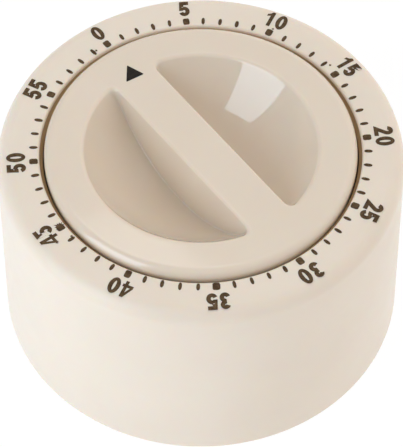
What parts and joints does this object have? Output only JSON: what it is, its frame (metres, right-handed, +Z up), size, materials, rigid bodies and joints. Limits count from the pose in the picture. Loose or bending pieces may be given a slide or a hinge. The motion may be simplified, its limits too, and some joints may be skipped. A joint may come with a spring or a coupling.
{
  "type": "kitchen timer",
  "caption": "Round wind-up kitchen timer: drum casing with a minute dial, knob with two finger recesses, wheel train and bell inside.",
  "frame": {"origin": "on the surface it stands on, under the middle of the base", "axes": "+Z up along the knob's axis, +Y from the middle towards the dial's zero mark, +X towards the fifteen mark"},
  "size_m": [0.065, 0.065, 0.0379],
  "materials": {
    "casing_plastic": "satin",
    "knob_plastic": "gloss",
    "dial_ink": "matte",
    "foot_rubber": "matte",
    "screw_steel": "satin",
    "plate_steel": "satin",
    "spring_steel": "satin",
    "wheel_brass": "satin",
    "bell_steel": "gloss"
  },
  "bodies": {
    "case": {"casing": "casing_plastic", "base_cover": "casing_plastic", "cover_screws": "screw_steel", "rubber_feet": "foot_rubber", "front_plate": "plate_steel", "back_plate": "plate_steel", "plate_pillars": "screw_steel", "pillar_screws": "screw_steel", "movement_screws": "screw_steel", "arbor_bush": "wheel_brass", "mainspring": "spring_steel", "spring_post": "screw_steel", "lever_stud": "screw_steel", "lever_spring": "spring_steel", "hammer_spring": "spring_steel", "bell": "bell_steel", "bell_post": "screw_steel", "bell_screw": "screw_steel"},
    "knob": {"knob": "knob_plastic", "knob_clip": "spring_steel", "main_arbor": "screw_steel", "ratchet_wheel": "screw_steel", "main_wheel": "wheel_brass", "click_rivet": "screw_steel", "click_spring": "spring_steel", "cam_disc": "wheel_brass"},
    "click": {"click": "spring_steel"},
    "second_arbor": {"second_wheel": "wheel_brass", "second_pinion": "screw_steel", "strike_wheel": "wheel_brass"},
    "third_arbor": {"third_wheel": "wheel_brass", "third_pinion": "screw_steel"},
    "escape_arbor": {"escape_wheel": "wheel_brass", "escape_pinion": "screw_steel"},
    "pallets": {"pallet_lever": "wheel_brass", "pallet_pins": "spring_steel", "pallet_arbor": "screw_steel", "balance_bar": "wheel_brass"},
    "release_lever": {"release_lever": "plate_steel"},
    "hammer": {"hammer_arm": "plate_steel", "hammer_head": "wheel_brass", "hammer_arbor": "screw_steel"}
  },
  "joints": [
    {"name": "knob_turn", "type": "hinge", "parent": "case", "child": "knob", "pos_m": [0, 0, 0.03785], "axis": [0, 0, -1], "range_deg": [0, 352.5]},
    {"name": "second_spin", "type": "hinge", "parent": "case", "child": "second_arbor", "pos_m": [-0.01332, 0.00485, 0.0159], "axis": [0, 0, -1], "range_deg": [-2820, 0]},
    {"name": "third_spin", "type": "hinge", "parent": "case", "child": "third_arbor", "pos_m": [-0.01484, -0.00448, 0.0159], "axis": [0, 0, -1], "range_deg": [0, 16920]},
    {"name": "escape_spin", "type": "hinge", "parent": "case", "child": "escape_arbor", "pos_m": [-0.01039, -0.01282, 0.0159], "axis": [0, 0, -1], "range_deg": [-101520, 0]},
    {"name": "pallet_rock", "type": "hinge", "parent": "case", "child": "pallets", "pos_m": [-0.00468, -0.01686, 0.0159], "axis": [0, 0, 1], "range_deg": [-6, 6]},
    {"name": "release_drop", "type": "hinge", "parent": "case", "child": "release_lever", "pos_m": [0.0111, -0.0011, 0.0215], "axis": [0, 0, 1], "range_deg": [0, 6]},
    {"name": "hammer_swing", "type": "hinge", "parent": "case", "child": "hammer", "pos_m": [-0.00744, 0.01595, 0.0159], "axis": [0, 0, 1], "range_deg": [-3.5, 2.5], "stiffness_Nm_per_rad": 0.002},
    {"name": "click_lift", "type": "hinge", "parent": "knob", "child": "click", "pos_m": [-0.00142, 0.00808, 0.0191], "axis": [0, 0, 1], "range_deg": [0, 4], "stiffness_Nm_per_rad": 0.0005}
  ],
  "couplings": [
    {"joint": "second_spin", "follows": "knob_turn", "ratio": -8},
    {"joint": "third_spin", "follows": "knob_turn", "ratio": 48},
    {"joint": "escape_spin", "follows": "knob_turn", "ratio": -288}
  ]
}
